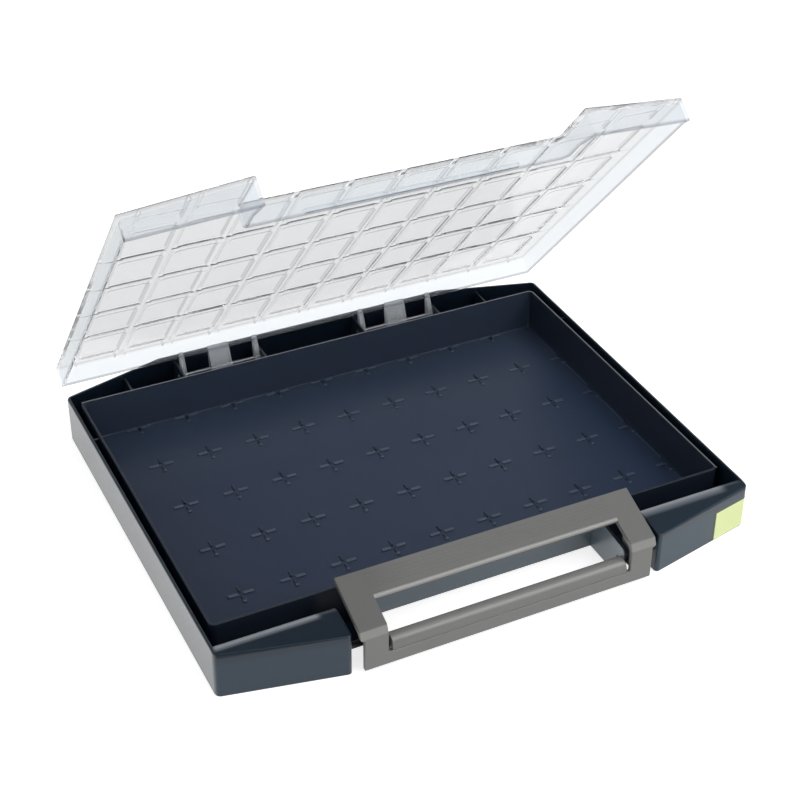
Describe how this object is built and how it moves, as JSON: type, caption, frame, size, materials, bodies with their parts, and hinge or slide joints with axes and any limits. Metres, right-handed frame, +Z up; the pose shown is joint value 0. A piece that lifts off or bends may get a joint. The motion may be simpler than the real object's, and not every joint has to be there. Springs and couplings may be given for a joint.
{
  "type": "storage case",
  "caption": "Shallow carry case with a gridded tray, a clear hinged lid and a pivoting carrying handle at the front.",
  "frame": {"origin": "middle of the tray, on the flat underside", "axes": "+X along the case's width, to the right as seen from the handle; +Y from the handle towards the hinges; +Z up"},
  "size_m": [0.412, 0.3635, 0.3027],
  "materials": {
    "navy_plastic": "satin moulded",
    "tab_plastic": "smooth",
    "steel": "drawn wire",
    "clear_plastic": "clear polished",
    "grey_plastic": "fine texture",
    "grip_plastic": "smooth satin",
    "pin_plastic": "smooth"
  },
  "bodies": {
    "base": {"base_shell": "navy_plastic", "corner_tab": "tab_plastic", "hinge_rod_left": "steel", "hinge_rod_right": "steel", "handle_pivot_left": "pin_plastic", "handle_pivot_right": "pin_plastic"},
    "lid": {"lid_shell": "clear_plastic"},
    "handle": {"handle_frame": "grey_plastic", "handle_grip": "grip_plastic"}
  },
  "joints": [
    {"name": "lid_hinge", "type": "hinge", "parent": "base", "child": "lid", "pos_m": [0, 0.158, 0.0254], "axis": [-1, 0, 0], "range_deg": [-48.4, 26.3]},
    {"name": "handle_hinge", "type": "hinge", "parent": "base", "child": "handle", "pos_m": [0, -0.177, 0.016], "axis": [1, 0, 0], "range_deg": [-8, 10]}
  ]
}
